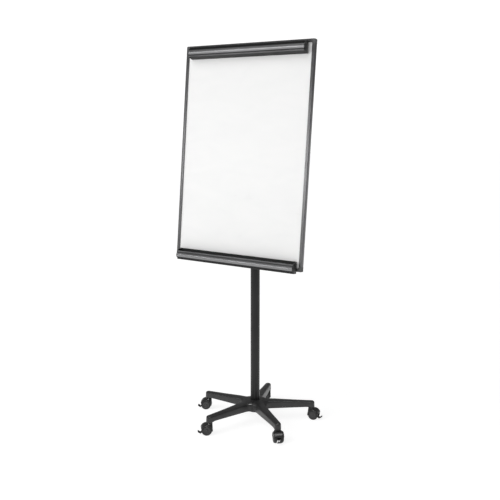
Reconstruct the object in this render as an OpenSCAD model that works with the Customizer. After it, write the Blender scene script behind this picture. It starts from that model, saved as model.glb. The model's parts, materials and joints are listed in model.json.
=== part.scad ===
// Mobile flipchart easel: a framed writing board with a hinged paper clamp and a pen tray,
// tilting on a telescopic column that stands on a five-arm base with braked twin-wheel casters.
// Origin: on the floor under the column's axis. +Z up, -Y the side that is written on.

/* [Board] */
// Width of the frame
board_w = 700; // [500:5:900]
// Height of the frame
board_h = 1000; // [800:10:1200]
// Depth of the frame's rails
frame_d = 17; // [15:0.5:24]
// Width of a rail seen from the front
rail_w = 15; // [12:0.5:20]
// Height of the front chamber of a rail, which stands proud of the writing surface
rail_proud = 5.5; // [3:0.5:8]
// Wall of the rails
rail_wall = 1.6; // [1.2:0.1:2.5]
// Length of a corner piece along each edge
corner_len = 22; // [18:1:30]
// Thickness of the lacquered steel writing sheet
sheet_t = 0.6; // [0.4:0.1:1.5]
// Thickness of the back sheet
back_t = 0.4; // [0.3:0.1:1.5]
// Backward lean of the board
lean = 5.7; // [0:0.1:20]

/* [Clamp and pen tray] */
// Length of the clamp bar, end caps included
clamp_len = 636; // [300:2:640]
// Height of the clamp bar
clamp_h = 51.5; // [50:0.5:64]
// Drop of the clamp bar's top below the frame's top edge
clamp_drop = 11.5; // [4:0.5:14]
// Length of the pen tray, end caps included
tray_len = 652; // [300:2:672]
// Reach of the tray's floor below the frame's bottom edge
tray_drop = 9; // [6:0.5:14]
// Height of the tray's back wall above the frame's bottom edge
tray_back_h = 44; // [38:1:50]
// How far the wide band's crown stands in front of the frame
band_n = 33; // [30:0.5:40]
// Height of the wide band
band_h = 24; // [20:0.5:26]
// Bulge of the wide band
band_bulge = 5; // [2:0.5:8]
// Wall of the clamp and tray profiles
bar_wall = 2.2; // [1.8:0.1:3]
// Thickness of the end caps
cap_t = 4; // [3:0.5:6]
// Radius of the hinge pin
hinge_r = 2; // [1.5:0.1:3]
// Length of one fixed hinge knuckle
knuckle_len = 40; // [20:2:60]

/* [Paper pegs] */
// Distance between the two pegs
peg_spacing = 450; // [360:5:500]
// Travel of each peg to either side
peg_travel = 40; // [10:1:60]
// Radius of a peg's post
peg_r = 4; // [3:0.25:5]
// Length of a peg's post in front of its rail
peg_len = 14; // [10:0.5:18]

/* [Column] */
// Radius of the lower column tube
column_r = 22; // [19:0.5:30]
// Wall of the lower column tube
column_wall = 2; // [1.5:0.1:3]
// Height of the lower column's top above the floor
column_top = 950; // [900:5:1000]
// Wall of the guide bush, between the column and the sliding mast
bush_wall = 2; // [1:0.1:4]
// Wall of the mast
mast_wall = 2; // [1.5:0.1:3]
// Height of the mast's lower end above the floor
mast_bottom = 700; // [660:5:760]
// Height of the board's tilt axis above the floor
pivot_z = 1294; // [1240:2:1400]
// Reach of the tilt axis in front of the column's axis
pivot_reach = 60; // [54:1:90]
// Distance of the tilt axis behind the frame's front plane
pivot_back = 52; // [48:0.5:70]
// Height of the tilt axis above the frame's bottom edge, along the board
pivot_up = 500; // [400:5:600]
// Radius of the tilt bolt
tilt_bolt_r = 5; // [4:0.5:6]
// Radius of the hand knobs
knob_r = 23; // [18:1:26]

/* [Base] */
// Distance of a caster's stem from the column's axis
base_r = 277; // [240:1:330]
// Turn of the first arm about the column
base_turn = 182.1; // [0:0.1:359]
// Height of the caster sockets' lower faces
socket_z = 58; // [56:0.5:75]
// Radius of a caster socket
socket_r = 16; // [14:0.5:20]
// Height of the arms' tips
tip_top = 91; // [88:0.5:105]
// Height of the hub
hub_top = 107; // [103:0.5:125]
// Radius of the hub's flat top
hub_r = 43; // [38:1:50]
// Width of an arm at the hub
arm_w = 47; // [40:1:54]

/* [Casters] */
// Radius of a caster wheel
wheel_r = 25; // [22:0.5:26]
// Width of one wheel
wheel_w = 15; // [12:0.5:16]
// Radius of a wheel's rounded outer edge
wheel_edge = 8; // [4:0.5:10]
// Width over both wheels
twin_w = 47.4; // [42:0.2:52]
// Trail of the wheels behind the stem
trail = 14; // [12:0.5:18]
// Radius of the caster's stem
stem_r = 5.5; // [4:0.5:6]
// Headings of the five casters in the stored pose
headings = [212, 222, 313, 10, 214];

/* [Fits] */
// Radial clearance of a turning or sliding fit
run_fit = 0.05; // [0.02:0.01:0.1]
// Radial clearance of a fixed fit
seat_fit = 0.02; // [0.01:0.01:0.05]
// Gap between faces that pass each other
face_gap = 0.3; // [0.2:0.05:0.6]

/* [Hidden] */
$fn = 64;

arms = 5;
arm_step = 360 / arms;
// the board's layers, as distances behind the front plane
panel_y = rail_proud;
core_y = panel_y + sheet_t;
slot_end = frame_d - rail_wall;
back_y = slot_end - 0.1 - back_t;
plate_t = 3;
bracket_y = slot_end - 0.1 + plate_t;
web = 2.5;
slot_play = 0.5;
panel_w = board_w - 2 * (web + slot_play);
panel_h = board_h - 2 * (web + slot_play);
// the clamp's hinge axis in board coordinates: distance in front of the frame, height
knuckle_r = hinge_r + 2.5;
hinge_n = knuckle_r + 2 + face_gap;
clamp_top = board_h - clamp_drop;
hinge_u = clamp_top - knuckle_r + 1.5;
fixed_knuckles = [-250, 0, 250];
clamp_screws = [-290, -125, 125, 290];
clamp_screw_u = board_h - rail_w + 4.5;
tray_screws = [-240, 0, 240];
rail_plate_t = 2;
peg_u = clamp_top - 26;
knob_h = 22;
collar_h = 48;
mast_r = column_r - column_wall - bush_wall;
mast_top = pivot_z - 34;
collar_r = column_r + 8;
collar_z = column_top - collar_h + 6;
column_seat = 56;
screw_r = 4;
knob_z = column_top - 20;
lug_w = 28;
ear_gap = 17;
ear_t = 4;
web_w = twin_w - 2 * wheel_w - 2 * face_gap;
pedal_pivot = [trail + 15, wheel_r - 2];
hood_gap = 1;
stem_foot = 34;
socket_depth = 20;
axle_r = 3;
pedal_pin_r = 1.6;
foot_bolt_r = 5;
foot_bolt_play = 0.3;
bracket_screw_at = [30, 45];
bracket_screw_r = 2.5;
hood_r = wheel_r + hood_gap + 2.6;
rim_centre = [wheel_r - wheel_edge, twin_w / 2 - wheel_edge];

function arc(c, r, a0, a1, n) =
    [for (i = [0:n]) let (a = a0 + (a1 - a0) * i / n) [c[0] + r * cos(a), c[1] + r * sin(a)]];

// ---- placing -------------------------------------------------------------------------------

// Board coordinates: x across, y behind the front plane, z up from the frame's bottom edge.
module on_board() {
    translate([0, -pivot_reach, pivot_z]) rotate([-lean, 0, 0])
        translate([0, -pivot_back, -pivot_up]) children();
}

module on_arm(i) {
    rotate([0, 0, base_turn + arm_step * (i - 1)]) children();
}

// Caster coordinates: stem on the z axis, wheels towards +x.
module on_caster(i) {
    a = base_turn + arm_step * (i - 1);
    translate([base_r * cos(a), base_r * sin(a), 0]) rotate([0, 0, headings[i - 1]]) children();
}

module along_x(len) {
    translate([-len / 2, 0, 0]) rotate([90, 0, 90]) linear_extrude(len) children();
}

module ring(r_in, r_out, h) {
    difference() {
        cylinder(r = r_out, h = h);
        translate([0, 0, -1]) cylinder(r = r_in, h = h + 2);
    }
}

// ---- base ----------------------------------------------------------------------------------

module arm_section(x, w, top, bottom) {
    translate([x, 0, 0]) {
        translate([0, -w / 2, bottom]) cube([1, w, top - bottom - 9]);
        translate([0, -w / 2 + 8, top - 3]) cube([1, w - 16, 3]);
    }
}

// An arm's tapered beam, from inside the hub to the middle of its socket.
module arm_body() {
    hull() {
        arm_section(hub_r - 6, arm_w, hub_top - 3, socket_z + 6);
        arm_section(base_r - 4, 2 * socket_r - 1.6, tip_top, socket_z + 6);
    }
}

module arm_tip() {
    translate([base_r, 0, 0]) rotate_extrude() polygon([
        [0, socket_z], [socket_r, socket_z], [socket_r, tip_top - 6], [socket_r - 5, tip_top],
        [0, tip_top]]);
}

// Three pockets under each arm leave cross ribs between them.
module arm_pockets() {
    for (k = [0:2]) {
        x0 = hub_r + 26 + k * 56;
        half0 = arm_w / 2 - 6 - (k * 56) * 0.033;
        half1 = half0 - 50 * 0.033;
        translate([0, 0, socket_z - 1]) linear_extrude(tip_top - socket_z - 8)
            polygon([[x0, -half0], [x0 + 50, -half1], [x0 + 50, half1], [x0, half0]]);
    }
}

module hub() {
    rotate_extrude() polygon([
        [0, column_seat - 6], [35, column_seat - 6], [35, socket_z + 4], [hub_r + 21, socket_z + 4],
        [hub_r + 21, hub_top - 20], [hub_r + 10, hub_top - 8], [hub_r, hub_top], [0, hub_top]]);
}

module star_base() {
    color("dimgray") difference() {
        union() {
            hub();
            for (i = [1:arms]) on_arm(i) {
                arm_body();
                arm_tip();
            }
        }
        for (i = [1:arms]) on_arm(i) {
            arm_pockets();
            translate([base_r, 0, socket_z - 1])
                cylinder(r = stem_r + run_fit, h = socket_depth + 7);
        }
        translate([0, 0, column_seat]) cylinder(r = column_r + seat_fit, h = hub_top);
        cylinder(r = foot_bolt_r + foot_bolt_play, h = hub_top);
    }
}

module column_fixings() {
    color("silver") {
        translate([0, 0, column_seat - 8]) ring(foot_bolt_r + foot_bolt_play, 13, 2);
        translate([0, 0, column_seat - 14.4]) cylinder(r = 9.2, h = 6.4, $fn = 6);
        translate([0, 0, column_seat - 8.1]) cylinder(r = foot_bolt_r, h = 28);
    }
}

module column_foot_plug() {
    color("dimgray") translate([0, 0, column_seat])
        ring(foot_bolt_r + seat_fit, column_r - column_wall - seat_fit, 24);
}

module lower_column() {
    color("darkslategray") difference() {
        translate([0, 0, column_seat])
            ring(column_r - column_wall, column_r, column_top - column_seat);
        translate([0, 0, knob_z]) rotate([-90, 0, 0]) cylinder(r = screw_r + 0.2, h = 40);
    }
}

module guide_bush() {
    color("black") difference() {
        translate([0, 0, column_top - 55])
            ring(mast_r + run_fit, column_r - column_wall - seat_fit, 55);
        translate([0, 0, knob_z]) rotate([-90, 0, 0]) cylinder(r = screw_r + 0.2, h = 40);
    }
}

module clamp_collar() {
    color("black") difference() {
        union() {
            translate([0, 0, collar_z]) cylinder(r = collar_r, h = collar_h - 4);
            translate([0, 0, collar_z + collar_h - 4])
                cylinder(r1 = collar_r, r2 = collar_r - 4, h = 4);
            translate([0, 0, knob_z]) rotate([-90, 0, 0]) cylinder(r = 13, h = collar_r + 12);
        }
        translate([0, 0, collar_z - 1])
            cylinder(r = column_r + seat_fit, h = column_top - collar_z + 1);
        translate([0, 0, collar_z]) cylinder(r = mast_r + 0.4, h = collar_h + 1);
        translate([0, 0, knob_z]) rotate([-90, 0, 0]) cylinder(r = screw_r + run_fit, h = 60);
    }
}

// A star grip on its screw, pointing along +z from the screw's tip.
module star_knob(stud_len, bored) {
    difference() {
        union() {
            if (!bored) cylinder(r = screw_r, h = stud_len + 8);
            translate([0, 0, stud_len]) cylinder(r = 13, h = 7);
            translate([0, 0, stud_len + 5]) difference() {
                cylinder(r = knob_r, h = knob_h - 7);
                for (k = [0:6]) rotate([0, 0, k * 360 / 7]) translate([knob_r + 3.5, 0, -1])
                    cylinder(r = 8, h = knob_h);
            }
            translate([0, 0, stud_len + knob_h - 2]) cylinder(r1 = 15, r2 = 12, h = 3);
        }
        if (bored) translate([0, 0, stud_len - 1]) cylinder(r = tilt_bolt_r + run_fit, h = 15);
    }
}

module height_knob() {
    tip = mast_r + 0.2;
    color("black") translate([0, tip, knob_z]) rotate([-90, 0, 0])
        star_knob(collar_r + 12 + face_gap - tip, false);
}

// ---- mast and tilt head --------------------------------------------------------------------

module mast() {
    color("darkslategray") translate([0, 0, mast_bottom])
        ring(mast_r - mast_wall, mast_r, mast_top - mast_bottom);
}

module mast_glide() {
    color("black") translate([0, 0, mast_bottom - 14]) {
        ring(8, column_r - column_wall - run_fit, 14);
        ring(8, mast_r - mast_wall - seat_fit, 34);
    }
}

module tilt_head() {
    lug_r = 16;
    color("dimgray") difference() {
        union() {
            translate([0, 0, mast_top - 38]) cylinder(r = mast_r - mast_wall - seat_fit, h = 40);
            translate([0, 0, mast_top]) cylinder(r = mast_r + 3, h = 12);
            intersection() {
                along_x(lug_w) polygon(concat(
                    [[mast_r + 3, mast_top], [mast_r + 3, mast_top + 12]],
                    [[mast_r - 3, mast_top + 17]],
                    arc([-pivot_reach, pivot_z], lug_r, 75, 235, 12),
                    [[-mast_r - 3, mast_top]]));
                translate([0, -25, mast_top]) cylinder(r = 60, h = 60);
            }
            translate([-lug_w / 2, -pivot_reach, pivot_z]) rotate([0, 90, 0])
                cylinder(r = lug_r, h = lug_w);
        }
        translate([-lug_w, -pivot_reach, pivot_z]) rotate([0, 90, 0])
            cylinder(r = tilt_bolt_r + run_fit, h = 2 * lug_w);
    }
}

module tilt_bolt() {
    head = 6;
    color("silver") translate([0, -pivot_reach, pivot_z]) rotate([0, 90, 0]) {
        translate([0, 0, -ear_gap - ear_t - head]) cylinder(r = 9, h = head, $fn = 6);
        translate([0, 0, -ear_gap - ear_t - 0.1])
            cylinder(r = tilt_bolt_r, h = 2 * (ear_gap + ear_t) + 0.4 + 14);
    }
}

module tilt_washers() {
    gap = ear_gap - lug_w / 2;
    color("black") for (s = [-1, 1]) translate([s * (lug_w / 2 + gap / 2 + 0.05), -pivot_reach, pivot_z])
        rotate([0, 90, 0]) translate([0, 0, -gap / 2 + 0.1]) ring(tilt_bolt_r + seat_fit, 14, gap - 0.2);
}

module tilt_knob() {
    color("black") translate([ear_gap + ear_t + face_gap, -pivot_reach, pivot_z]) rotate([0, 90, 0])
        star_knob(0, true);
}

module tilt_bracket() {
    base_w = 2 * (ear_gap + ear_t);
    color("darkslategray") difference() {
        on_board() union() {
            translate([-base_w / 2 - 16, bracket_y, pivot_up - 60])
                cube([base_w + 32, plate_t, 120]);
            for (s = [-1, 1]) translate([s * (ear_gap + ear_t / 2), 0, 0]) along_x(ear_t)
                polygon(concat([[bracket_y + 2.9, pivot_up + 40], [bracket_y + 2.9, pivot_up - 40]],
                    arc([pivot_back, pivot_up], 15, -60, 60, 12)));
        }
        translate([-60, -pivot_reach, pivot_z]) rotate([0, 90, 0])
            cylinder(r = tilt_bolt_r + seat_fit, h = 120);
        at_bracket_screws() translate([0, 0, -10]) cylinder(r = bracket_screw_r + 0.1, h = 20);
    }
}

// The four screws that hold the bracket, each from the front face of the back plate.
module at_bracket_screws() {
    on_board() for (s = [-1, 1], v = [-1, 1])
        translate([s * bracket_screw_at[0], bracket_y - plate_t, pivot_up + v * bracket_screw_at[1]])
            rotate([-90, 0, 0]) children();
}

module bracket_screws() {
    color("silver") at_bracket_screws() {
        cylinder(r = bracket_screw_r, h = 2 * plate_t);
        translate([0, 0, 2 * plate_t]) cylinder(r1 = 5, r2 = 3.4, h = 2.4);
    }
}

module back_plate() {
    color("darkslategray") difference() {
        on_board() translate([-75, bracket_y - plate_t, pivot_up - 150]) cube([150, plate_t, 300]);
        at_bracket_screws() translate([0, 0, -10]) cylinder(r = bracket_screw_r + 0.1, h = 20);
    }
}

// ---- board ---------------------------------------------------------------------------------

module board_layer(y, t) {
    on_board() translate([-panel_w / 2, y, (board_h - panel_h) / 2]) cube([panel_w, t, panel_h]);
}

module writing_panel() {
    color("white") board_layer(panel_y, sheet_t);
}

module board_core() {
    color("tan") board_layer(core_y, back_y - core_y);
}

module back_sheet() {
    color("lightgray") board_layer(back_y, back_t);
}

// Rail section: x from the outer face inwards, y behind the front plane.
module rail_section() {
    difference() {
        polygon([[0.8, 0], [rail_w - 0.8, 0], [rail_w, 0.8], [rail_w, panel_y],
                 [web, panel_y], [web, slot_end], [rail_w, slot_end],
                 [rail_w, frame_d], [0.8, frame_d], [0, frame_d - 0.8], [0, 0.8]]);
        translate([rail_wall, rail_wall]) square([rail_w - 2 * rail_wall, rail_proud - 2 * rail_wall]);
    }
}

module upright(side) {
    len = board_h - 2 * corner_len;
    on_board() translate([side * board_w / 2, 0, corner_len]) mirror([side > 0 ? 1 : 0, 0, 0])
        linear_extrude(len) rail_section();
}

module rail_left() {
    color("gray") upright(-1);
}

module rail_right() {
    color("gray") upright(1);
}

module crosspiece(top) {
    len = board_w - 2 * corner_len;
    on_board() translate([0, 0, top ? board_h : 0]) mirror([0, 0, top ? 1 : 0])
        translate([-len / 2, 0, 0]) rotate([0, 90, 0]) rotate([0, 0, 180]) mirror([0, 1, 0])
            linear_extrude(len) rail_section();
}

module rail_top() {
    color("gray") crosspiece(true);
}

module rail_bottom() {
    color("gray") crosspiece(false);
}

// One corner in the plane of the board, its outer corner at the origin.
module corner_piece() {
    r = 4;
    rotate([90, 0, 0]) translate([0, 0, -frame_d]) difference() {
        linear_extrude(frame_d) difference() {
            union() {
                translate([r, 0]) square([corner_len - r, corner_len]);
                translate([0, r]) square([corner_len, corner_len - r]);
                translate([r, r]) circle(r = r);
            }
            translate([rail_w, rail_w]) square(corner_len);
        }
        translate([web, web, rail_wall]) cube([corner_len, corner_len, slot_end - panel_y]);
    }
}

module frame_corners() {
    color("dimgray") on_board() for (sx = [0, 1], sz = [0, 1])
        translate([(sx * 2 - 1) * board_w / 2, 0, sz * board_h])
            mirror([sx, 0, 0]) mirror([0, 0, sz]) corner_piece();
}

// ---- clamp and tray ------------------------------------------------------------------------

// Outer face of the profile both bars share: x out of the frame, y up from the edge of the band's
// lower strip. The wide band's edges stand band_n - band_bulge in front of the frame.
band_edge = band_n - band_bulge;
band_cr = ((band_h / 2) * (band_h / 2) + band_bulge * band_bulge) / (2 * band_bulge);
band_a = asin(band_h / 2 / band_cr);
strip_h = 9;
groove_h = 1.6;
thin_h = 7;

function profile_outer(inset) = concat(
    arc([band_edge - 7, 3], 3 - inset, -90, -20, 3),
    [[band_edge - 3 - inset, strip_h - 0.5]],
    arc([band_n - band_cr, strip_h + band_h / 2], band_cr - inset, -band_a, band_a, 10),
    [[band_edge - 2 - inset, strip_h + band_h + groove_h / 2],
     [band_edge + 1 - inset, strip_h + band_h + groove_h]],
    arc([band_edge - 11, strip_h + band_h + groove_h + thin_h / 2], 13 - inset, -14, 14, 3));

profile_h = strip_h + band_h + groove_h + thin_h;

module tray_section() {
    polygon(concat(
        [[0, 0]], profile_outer(0),
        [[band_edge - 1.5 - bar_wall, profile_h]],
        [for (i = [len(profile_outer(bar_wall)) - 1:-1:4]) profile_outer(bar_wall)[i]],
        [[band_edge - 7, bar_wall], [bar_wall + 0.5, bar_wall], [bar_wall, bar_wall + 1],
         [bar_wall, tray_drop + tray_back_h], [0, tray_drop + tray_back_h]]));
}

module tray_outline() {
    polygon(concat([[0, 0]], profile_outer(0),
        [[band_edge - 6, profile_h + 4], [bar_wall, tray_drop + tray_back_h],
         [0, tray_drop + tray_back_h]]));
}

module on_tray() {
    on_board() translate([0, -0.1, -tray_drop]) mirror([0, 1, 0]) children();
}

module pen_tray() {
    color("gray") difference() {
        on_tray() along_x(tray_len - 2 * cap_t - 0.2) tray_section();
        on_board() for (x = tray_screws) translate([x, -bar_wall - 0.1, rail_w / 2])
            rotate([-90, 0, 0]) countersunk(2, bar_wall + 1.5, seat_fit);
    }
}

module bulge(r, h) {
    translate([0, 0, -0.1]) cylinder(r1 = r, r2 = r - 2, h = h);
}

module tray_caps() {
    color("black") for (s = [-1, 1]) on_tray() translate([s * (tray_len / 2 - cap_t / 2), 0, 0]) {
        along_x(cap_t) tray_outline();
        translate([s * cap_t / 2, 18, strip_h + band_h / 2]) rotate([0, s * 90, 0]) bulge(11, 4);
    }
}

// A countersunk screw from its head's face along +z, or with play its hole.
module countersunk(r, len, play) {
    translate([0, 0, -play]) cylinder(r = r + play, h = len + 2 * play);
    translate([0, 0, -play]) cylinder(r1 = 1.9 * r + play, r2 = r + play, h = 0.9 * r + play);
}

module board_screws() {
    color("silver") on_board() {
        for (x = tray_screws) translate([x, -bar_wall - 0.1, rail_w / 2])
            rotate([-90, 0, 0]) countersunk(2, bar_wall + 1.5, 0);
        for (x = clamp_screws) translate([x, -rail_plate_t - 0.1, clamp_screw_u])
            rotate([-90, 0, 0]) countersunk(1.5, rail_plate_t + 1.5, 0);
    }
}

module hinge_place(x) {
    on_board() translate([x, -hinge_n, hinge_u]) rotate([0, 90, 0]) children();
}

module clamp_rail() {
    len = clamp_len - 2 * cap_t - 4;
    foot = clamp_top - 40;
    color("black") difference() {
        union() {
            on_board() translate([-len / 2, -rail_plate_t - 0.1, foot])
                cube([len, rail_plate_t, clamp_screw_u + 3.5 - foot]);
            for (x = fixed_knuckles) {
                hinge_place(x - knuckle_len / 2) cylinder(r = knuckle_r, h = knuckle_len);
                on_board() translate([x - knuckle_len / 2, -hinge_n, hinge_u - knuckle_r])
                    cube([knuckle_len, hinge_n - 0.1, 2.4]);
            }
        }
        hinge_place(-board_w / 2) cylinder(r = hinge_r + seat_fit, h = board_w);
        on_board() for (s = [-1, 1])
            translate([s * peg_spacing / 2 - peg_travel - peg_r + 1, -10, peg_u - peg_r + 1])
                cube([2 * (peg_travel + peg_r - 1), 20, 2 * (peg_r - 1)]);
        on_board() for (x = clamp_screws) translate([x, -rail_plate_t - 0.1, clamp_screw_u])
            rotate([-90, 0, 0]) countersunk(1.5, rail_plate_t + 1.5, seat_fit);
    }
}

module clamp_hinge_pin() {
    color("silver") hinge_place(-clamp_len / 2 + cap_t + 0.5)
        cylinder(r = hinge_r, h = clamp_len - 2 * cap_t - 1);
}

// Clamp section in board coordinates, x out of the frame and y up: the shared profile upside
// down, closed at the top over the hinge and ending in a jaw that reaches back to the sheet.
jaw_n = -panel_y + face_gap + 0.2;

module clamp_section() {
    jaw_u = clamp_top - clamp_h;
    polygon(concat(
        [[hinge_n, clamp_top]],
        [for (p = profile_outer(0)) [p[0], clamp_top - p[1]]],
        [[band_edge - 1, clamp_top - profile_h - 1], [jaw_n + 3, jaw_u], [jaw_n, jaw_u + 0.6],
         [jaw_n, jaw_u + 4], [jaw_n + 3, jaw_u + 4.5],
         [band_edge - 1 - bar_wall, clamp_top - profile_h + 0.6]],
        [for (i = [len(profile_outer(bar_wall)) - 1:-1:4])
            let (p = profile_outer(bar_wall)[i]) [p[0], clamp_top - p[1]]],
        [[band_edge - 7, clamp_top - bar_wall], [hinge_n, clamp_top - bar_wall]]));
}

module clamp_outline() {
    jaw_u = clamp_top - clamp_h;
    polygon(concat(
        [[hinge_n, clamp_top]],
        [for (p = profile_outer(0)) [p[0], clamp_top - p[1]]],
        [[band_edge - 1, clamp_top - profile_h - 1], [jaw_n + 3, jaw_u], [face_gap + 0.3, jaw_u + 2.6],
         [face_gap + 0.3, hinge_u]],
        arc([hinge_n, hinge_u], hinge_n - face_gap - 0.3, 180, 120, 4)));
}

module clamp_bar() {
    len = clamp_len - 2 * cap_t - 0.2;
    color("gray") difference() {
        union() {
            on_board() mirror([0, 1, 0]) along_x(len) clamp_section();
            hinge_place(-len / 2) cylinder(r = knuckle_r, h = len);
            on_board() translate([-len / 2, -hinge_n - 6, hinge_u]) cube([len, 6, knuckle_r - 1.5]);
        }
        for (x = fixed_knuckles) hinge_place(x - knuckle_len / 2 - face_gap)
            cylinder(r = knuckle_r + 1.2, h = knuckle_len + 2 * face_gap);
        hinge_place(-board_w / 2) cylinder(r = hinge_r + run_fit, h = board_w);
    }
}

module clamp_caps() {
    color("black") for (s = [-1, 1])
        on_board() mirror([0, 1, 0]) translate([s * (clamp_len / 2 - cap_t / 2), 0, 0]) {
            along_x(cap_t) clamp_outline();
            translate([s * cap_t / 2, 18, clamp_top - strip_h - band_h / 2])
                rotate([0, s * 90, 0]) bulge(11, 3);
        }
}

module pad_peg(side) {
    foot = rail_plate_t + 0.1 + face_gap;
    color("silver") on_board() translate([side * peg_spacing / 2, 0, peg_u]) rotate([90, 0, 0]) {
        translate([0, 0, foot]) cylinder(r = peg_r, h = peg_len);
        translate([0, 0, foot + peg_len - 1]) cylinder(r1 = peg_r, r2 = peg_r - 1, h = 2);
        translate([0, 0, -1.5]) cylinder(r = peg_r - 1.3, h = rail_plate_t + 3);
        translate([0, 0, -3]) cylinder(r = peg_r + 2, h = 2.8);
    }
}

module pad_peg_left() {
    pad_peg(-1);
}

module pad_peg_right() {
    pad_peg(1);
}

// ---- casters -------------------------------------------------------------------------------

module at_axle(y) {
    translate([trail, y, wheel_r]) rotate([-90, 0, 0]) children();
}

// A disc on the axle, as wide as both wheels, whose rims follow the wheels' rounded edges.
module hood_disc() {
    rim_r = wheel_edge + hood_r - wheel_r;
    rim = arc(rim_centre, rim_r, 0, asin(wheel_edge / rim_r), 5);
    at_axle(0) rotate_extrude() polygon(concat(
        [[0, -twin_w / 2]], [for (k = [len(rim) - 1:-1:0]) [rim[k][0], -rim[k][1]]],
        rim, [[0, twin_w / 2]]));
}

// The room that one wheel turns in.
module wheel_room(side) {
    mirror([0, side > 0 ? 0 : 1, 0]) at_axle(0) rotate_extrude() polygon(concat(
        [[0, web_w / 2], [wheel_r + hood_gap, web_w / 2]],
        arc(rim_centre, wheel_edge + hood_gap, 0, 90, 6), [[0, twin_w / 2 + hood_gap]]));
}

// The housing's neck: straight at the stem's side, and tapered in width up to the socket.
module neck() {
    top = socket_z - face_gap;
    half = twin_w / 2 - 5;
    front = hood_r - trail;
    translate([-front, 0, 0]) rotate([90, 0, 90]) linear_extrude(front + 13)
        polygon([[-half, wheel_r], [half, wheel_r], [half, wheel_r + 13], [13.5, top], [-13.5, top],
                 [-half, wheel_r + 13]]);
}

module caster_housing(i) {
    color("black") on_caster(i) difference() {
        union() {
            at_axle(-web_w / 2) cylinder(r = 14, h = web_w);
            // the hood reaches from above the pedal, over the wheels and down the stem's side
            intersection() {
                hood_disc();
                union() {
                    translate([-20, -twin_w, wheel_r + 9]) cube([trail + hood_r + 30, 2 * twin_w, 40]);
                    translate([-20, -twin_w, wheel_r - 5]) cube([trail + 10, 2 * twin_w, 40]);
                }
            }
            neck();
            translate([-5, -web_w / 2, wheel_r - 5]) cube([trail + 5, web_w, 26]);
        }
        wheel_room(1);
        wheel_room(-1);
        // the trailing end of the web is narrowed for the pedal's cheeks
        intersection() {
            at_axle(-web_w) cylinder(r = wheel_r + hood_gap, h = 2 * web_w);
            for (y = [2, -2 - web_w]) translate([pedal_pivot[0] - 9, y, -1]) cube([40, web_w, 80]);
        }
        translate([0, 0, stem_foot]) cylinder(r = stem_r + seat_fit, h = 40);
        at_axle(-twin_w / 2) cylinder(r = axle_r + seat_fit, h = twin_w);
    }
    color("black") on_caster(i) pedal_lug();
}

module pedal_lug() {
    difference() {
        union() {
            translate([pedal_pivot[0], -2, pedal_pivot[1]]) rotate([-90, 0, 0]) cylinder(r = 5, h = 4);
            translate([trail + 8, -2, pedal_pivot[1] - 3]) cube([8, 4, 8]);
            translate([pedal_pivot[0], -5, pedal_pivot[1]]) rotate([-90, 0, 0])
                cylinder(r = pedal_pin_r, h = 10);
        }
        at_axle(-10) cylinder(r = 6, h = 20);
    }
}

module caster_stem(i) {
    color("silver") on_caster(i) {
        translate([0, 0, stem_foot]) cylinder(r = stem_r, h = socket_z + socket_depth - stem_foot);
        translate([0, 0, socket_z + socket_depth]) cylinder(r1 = stem_r, r2 = stem_r - 2, h = 3);
    }
}

module caster_axle(i) {
    color("silver") on_caster(i) at_axle(-twin_w / 2 + 3) cylinder(r = axle_r, h = twin_w - 6);
}

module wheel() {
    r = wheel_r;
    w = wheel_w;
    rim_x = r - wheel_edge * (1 - cos(75));
    difference() {
        rotate_extrude() polygon(concat(
            [[0, 0], [r - 3, 0]],
            arc([r - 2.5, 2.5], 2.5, -70, 0, 4),
            arc([r - wheel_edge, w - wheel_edge], wheel_edge, 0, 75, 6),
            [[rim_x - 0.5, w - 0.4], [rim_x - 0.9, w - 1.4], [10, w - 1], [9.4, w], [0, w]]));
        translate([0, 0, -1]) cylinder(r = axle_r + run_fit, h = w - 1.4);
    }
}

module caster_wheels(i) {
    color("dimgray") on_caster(i) {
        at_axle(twin_w / 2 - wheel_w) wheel();
        mirror([0, 1, 0]) at_axle(twin_w / 2 - wheel_w) wheel();
    }
}

// The pedal is stored pressed down, with its brake on. Its tab rises to a rounded tip.
module caster_pedal(i) {
    x0 = pedal_pivot[0];
    z0 = pedal_pivot[1];
    tab_x = trail + wheel_r + 2.2;
    low = wheel_r - 16.5;
    color("dimgray") on_caster(i) difference() {
        union() {
            for (y = [-2.4, 5.2]) translate([0, y, 0]) rotate([90, 0, 0]) linear_extrude(2.8)
                polygon(concat(arc([x0, z0], 4.4, 60, 260, 10),
                    [[tab_x + 1, low], [tab_x + 2, low + 5]]));
            translate([0, 10, 0]) rotate([90, 0, 0]) linear_extrude(20) polygon(concat(
                [[tab_x, low + 3.6], [tab_x, low], [tab_x + 3.4, low]],
                arc([tab_x + 12, low + 8.5], 2.6, -50, 130, 8), [[tab_x + 2.6, low + 4.4]]));
            translate([x0 + 6.5, -5.2, low + 1]) cube([6.5, 10.4, 3]);
        }
        translate([x0, -10, z0]) rotate([-90, 0, 0]) cylinder(r = pedal_pin_r + run_fit, h = 20);
    }
}

// ---- build ---------------------------------------------------------------------------------

star_base();
column_fixings();
column_foot_plug();
lower_column();
guide_bush();
clamp_collar();
height_knob();
mast();
mast_glide();
tilt_head();
tilt_bolt();
tilt_washers();
tilt_knob();
tilt_bracket();
back_plate();
bracket_screws();
writing_panel();
board_core();
back_sheet();
rail_left();
rail_right();
rail_top();
rail_bottom();
frame_corners();
pen_tray();
tray_caps();
board_screws();
clamp_rail();
clamp_hinge_pin();
clamp_bar();
clamp_caps();
pad_peg_left();
pad_peg_right();
for (i = [1:arms]) {
    caster_housing(i);
    caster_stem(i);
    caster_axle(i);
    caster_wheels(i);
    caster_pedal(i);
}
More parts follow.
